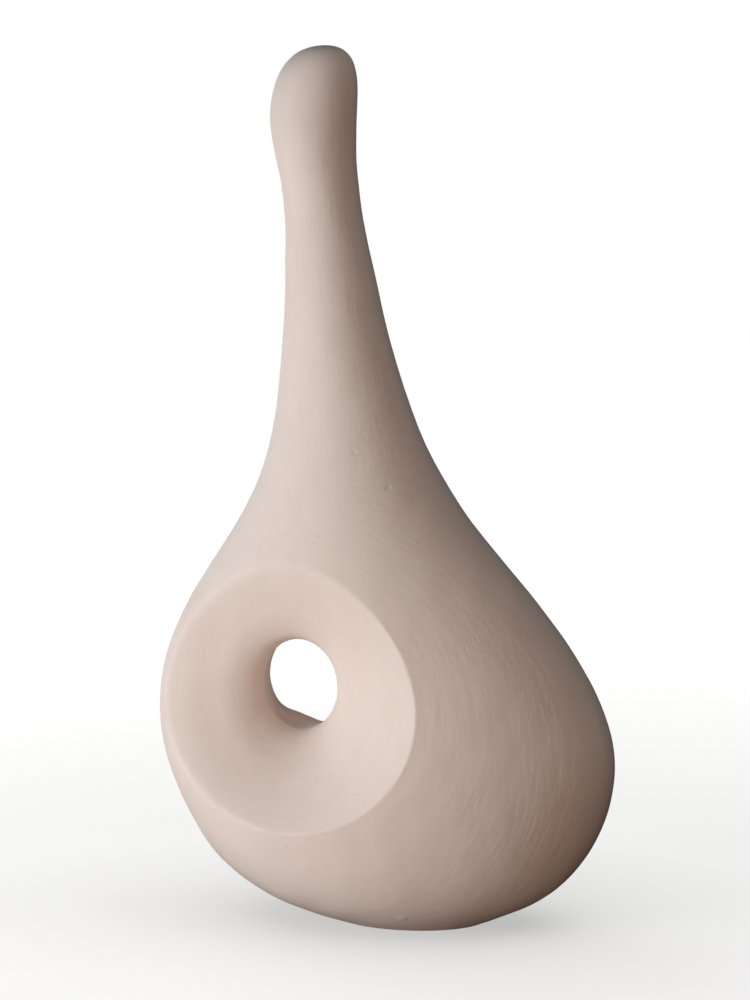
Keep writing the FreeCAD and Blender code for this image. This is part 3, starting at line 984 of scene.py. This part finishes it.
# %% [markdown]
# ## The lights
#
# Five soft square lights, each placed by its turn and rise from the camera. The key stands
# well to the left, so the dish's right wall is bright, its left wall falls into shade, and
# the belly darkens round to the right. A low light on the same side lifts the underside. A
# warm glow from low in front stands for light thrown back by the floor. One high on the right
# keeps the shaded side from going black, and one behind on the left shows the back. The low
# light stands below the paper, which is set to cast no shadow.

# %% The lights
LIGHT_SHARE = 0.56               # each light's side, as a share of its distance
rightward = Vector((math.cos(CAMERA_TURN), math.sin(CAMERA_TURN), 0))
upward = to_camera.cross(rightward)


def soft_light(name, turn, rise, far, watts, tint):
    """A square soft light, turned and raised in degrees from the camera, facing the form."""
    turn, rise = math.radians(turn), math.radians(rise)
    level = rightward * math.sin(turn) + to_camera * math.cos(turn)
    heading = level * math.cos(rise) + upward * math.sin(rise)
    data = bpy.data.lights.new(name, "AREA")
    data.size = LIGHT_SHARE * far
    data.energy = watts
    data.color = tint
    light = bpy.data.objects.new(name, data)
    light.location = aim + heading * far
    light.rotation_euler = heading.to_track_quat("Z", "Y").to_euler()
    bpy.context.scene.collection.objects.link(light)


LIGHTS = (        # name, turn, rise, distance in metres, watts, tint
    ("key", -57, 0, 1.0, 7.0, (0.86, 0.95, 1.00)),
    ("low_left", -75, -20, 1.1, 3.2, (1.00, 0.90, 0.86)),
    ("front_glow", 2, -12, 1.2, 3.9, (1.00, 0.74, 0.59)),
    ("high_right", 75, 60, 1.8, 5.3, (0.95, 0.99, 1.00)),
    ("behind_left", -150, 20, 1.8, 11.0, (0.93, 0.97, 1.00)),
)
for light in LIGHTS:
    soft_light(*light)
print("lights", len(LIGHTS))

# %% [markdown]
# ## The room
#
# The camera sees the room as plain white. The form is lit by something else, a very dim glow
# that is neutral from above and warm from below. One light-path node picks between the two.
# The plain view transform keeps the plaster's pale colour as it was mixed.

# %% The room's own light
ROOM_GLOW = 0.02
world = bpy.data.worlds.new("room")
bpy.context.scene.world = world
world.use_nodes = True
sky = world.node_tree
sky.nodes.clear()
finished = sky.nodes.new("ShaderNodeOutputWorld")
seen = sky.nodes.new("ShaderNodeBackground")
seen.inputs["Color"].default_value = (1, 1, 1, 1)
seen.inputs["Strength"].default_value = 1.0
glow = sky.nodes.new("ShaderNodeBackground")
glow.inputs["Strength"].default_value = ROOM_GLOW
split = sky.nodes.new("ShaderNodeSeparateXYZ")
where = sky.nodes.new("ShaderNodeTexCoord")
how_high = sky.nodes.new("ShaderNodeMapRange")
how_high.inputs["From Min"].default_value = -0.6
how_high.inputs["From Max"].default_value = 0.5
warm_below = sky.nodes.new("ShaderNodeMix")
warm_below.data_type = "RGBA"
warm_below.inputs[6].default_value = (0.62, 0.36, 0.24, 1)
warm_below.inputs[7].default_value = (1.0, 0.96, 0.92, 1)
looked_at = sky.nodes.new("ShaderNodeLightPath")
choice = sky.nodes.new("ShaderNodeMixShader")
for start, end in (
        (where.outputs["Generated"], split.inputs[0]),
        (split.outputs["Z"], how_high.inputs["Value"]),
        (how_high.outputs[0], warm_below.inputs[0]),
        (warm_below.outputs[2], glow.inputs["Color"]),
        (looked_at.outputs["Is Camera Ray"], choice.inputs[0]),
        (glow.outputs[0], choice.inputs[1]),
        (seen.outputs[0], choice.inputs[2]),
        (choice.outputs[0], finished.inputs["Surface"])):
    sky.links.new(start, end)
bpy.context.scene.view_settings.view_transform = "Standard"
print("room glow", ROOM_GLOW)
